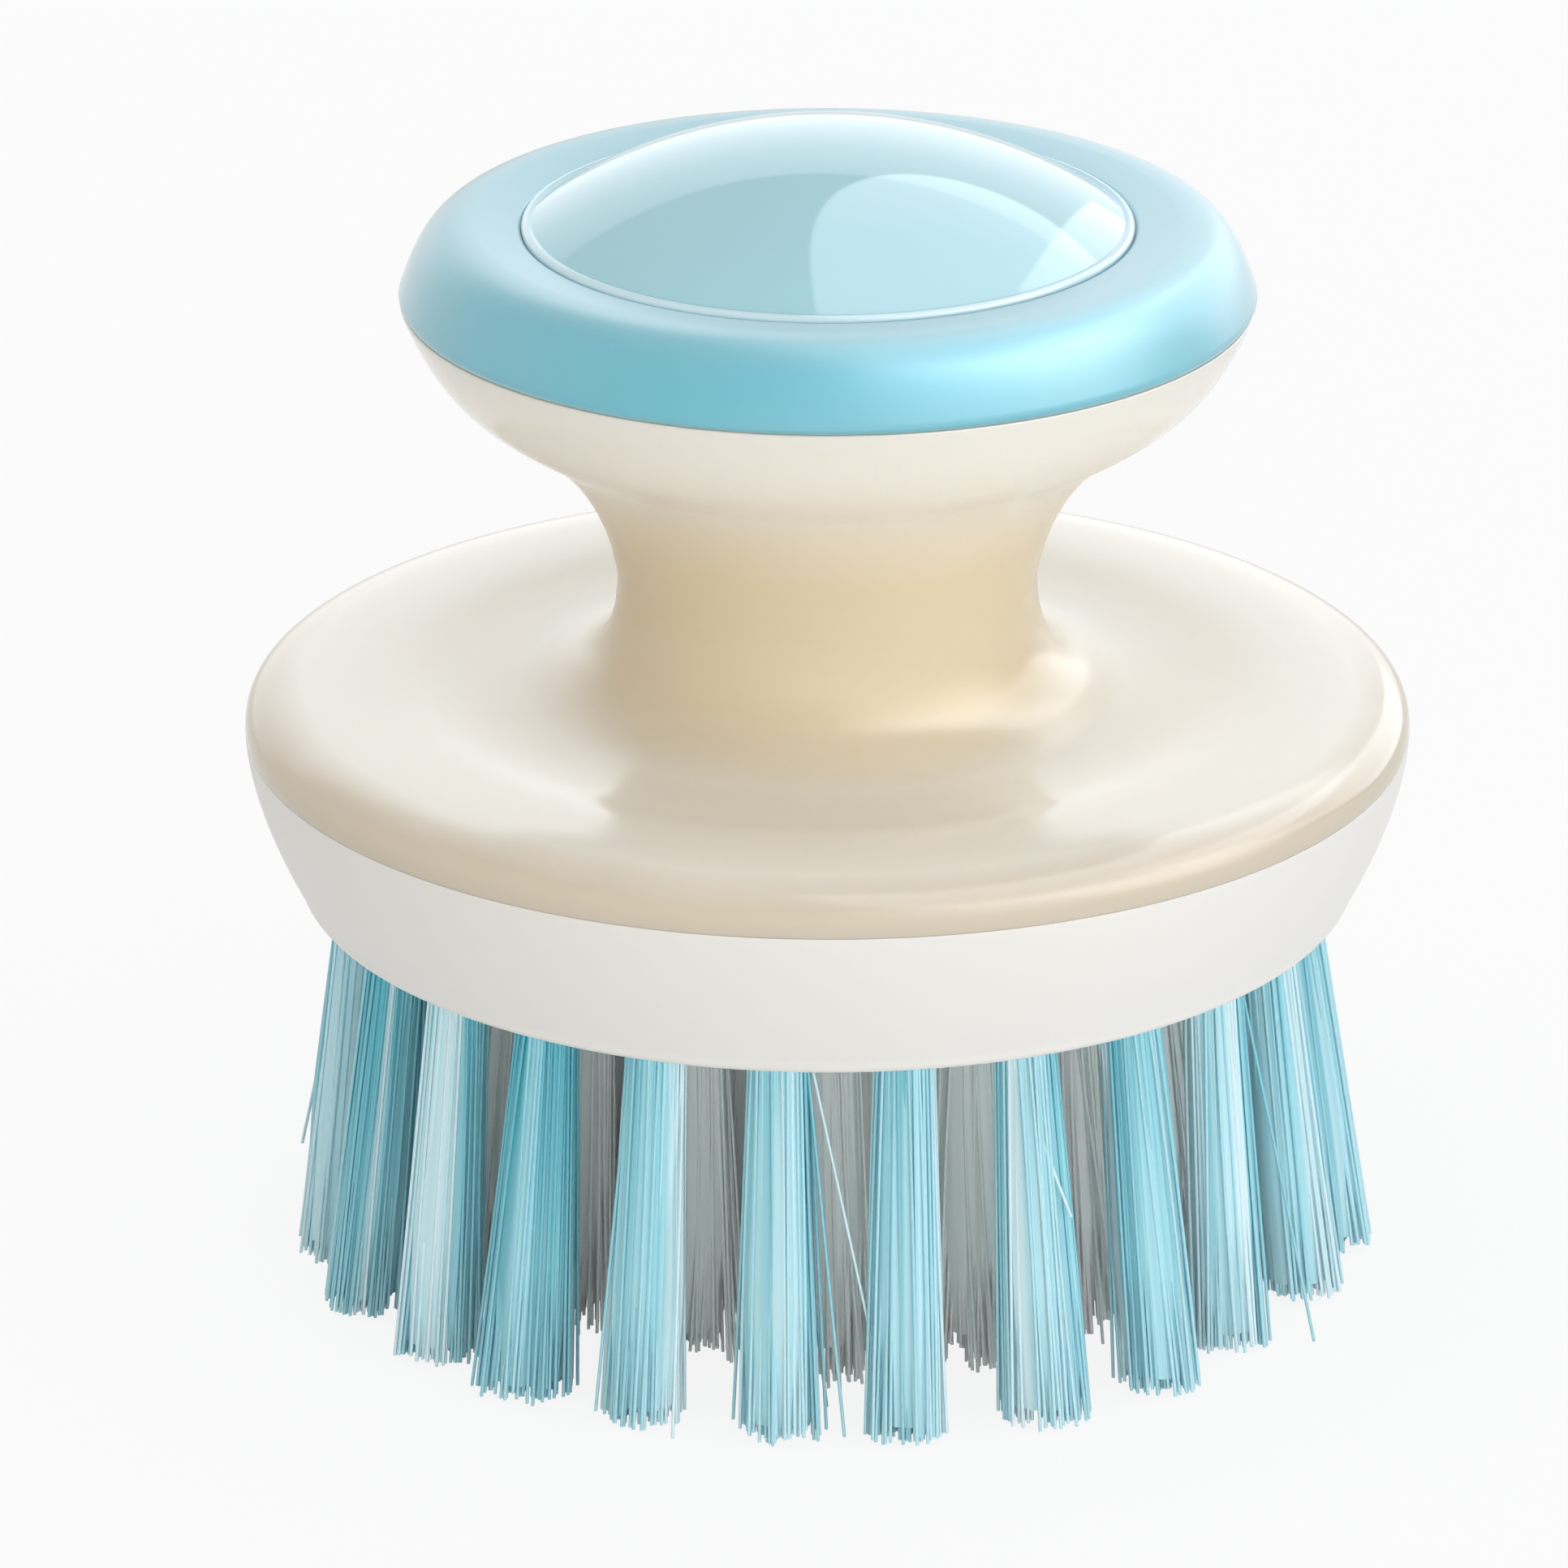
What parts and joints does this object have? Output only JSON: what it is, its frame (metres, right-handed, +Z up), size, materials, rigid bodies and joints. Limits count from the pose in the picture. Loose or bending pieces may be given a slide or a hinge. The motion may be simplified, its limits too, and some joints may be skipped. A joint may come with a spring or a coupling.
{
  "type": "dish brush",
  "caption": "Round palm dish brush: a dished knob on a waisted handle over a rimmed disc, with a tapered block of flared blue tufts round pale inner ones.",
  "frame": {"origin": "on the brush's axis, in the plane of the bristle tips on which it stands", "axes": "+Z up along the axis, from the bristle tips to the palm dome; -Y is the side that faces the viewer in the picture"},
  "size_m": [0.086, 0.086, 0.0857],
  "materials": {
    "white_block": "satin",
    "cream_shell": "gloss",
    "blue_dome": "gloss",
    "blue_grip": "satin",
    "blue_bristle": "satin",
    "cream_bristle": "satin"
  },
  "bodies": {
    "root": {"brush_block": "white_block", "handle_shell": "cream_shell", "palm_dome": "blue_dome", "grip_ring": "blue_grip", "outer_tuft_01": "blue_bristle", "outer_tuft_02": "blue_bristle", "outer_tuft_03": "blue_bristle", "outer_tuft_04": "blue_bristle", "outer_tuft_05": "blue_bristle", "outer_tuft_06": "blue_bristle", "outer_tuft_07": "blue_bristle", "outer_tuft_08": "blue_bristle", "outer_tuft_09": "blue_bristle", "outer_tuft_10": "blue_bristle", "outer_tuft_11": "blue_bristle", "outer_tuft_12": "blue_bristle", "outer_tuft_13": "blue_bristle", "outer_tuft_14": "blue_bristle", "outer_tuft_15": "blue_bristle", "outer_tuft_16": "blue_bristle", "outer_tuft_17": "blue_bristle", "outer_tuft_18": "blue_bristle", "outer_tuft_19": "blue_bristle", "outer_tuft_20": "blue_bristle", "outer_tuft_21": "blue_bristle", "outer_tuft_22": "blue_bristle", "outer_tuft_23": "blue_bristle", "outer_tuft_24": "blue_bristle", "second_tuft_01": "cream_bristle", "second_tuft_02": "cream_bristle", "second_tuft_03": "cream_bristle", "second_tuft_04": "cream_bristle", "second_tuft_05": "cream_bristle", "second_tuft_06": "cream_bristle", "second_tuft_07": "cream_bristle", "second_tuft_08": "cream_bristle", "second_tuft_09": "cream_bristle", "second_tuft_10": "cream_bristle", "second_tuft_11": "cream_bristle", "second_tuft_12": "cream_bristle", "second_tuft_13": "cream_bristle", "second_tuft_14": "cream_bristle", "second_tuft_15": "cream_bristle", "second_tuft_16": "cream_bristle", "third_tuft_01": "cream_bristle", "third_tuft_02": "cream_bristle", "third_tuft_03": "cream_bristle", "third_tuft_04": "cream_bristle", "third_tuft_05": "cream_bristle", "third_tuft_06": "cream_bristle", "third_tuft_07": "cream_bristle", "third_tuft_08": "cream_bristle", "third_tuft_09": "cream_bristle", "third_tuft_10": "cream_bristle", "inner_tuft_01": "cream_bristle", "inner_tuft_02": "cream_bristle", "inner_tuft_03": "cream_bristle", "inner_tuft_04": "cream_bristle"}
  },
  "joints": []
}
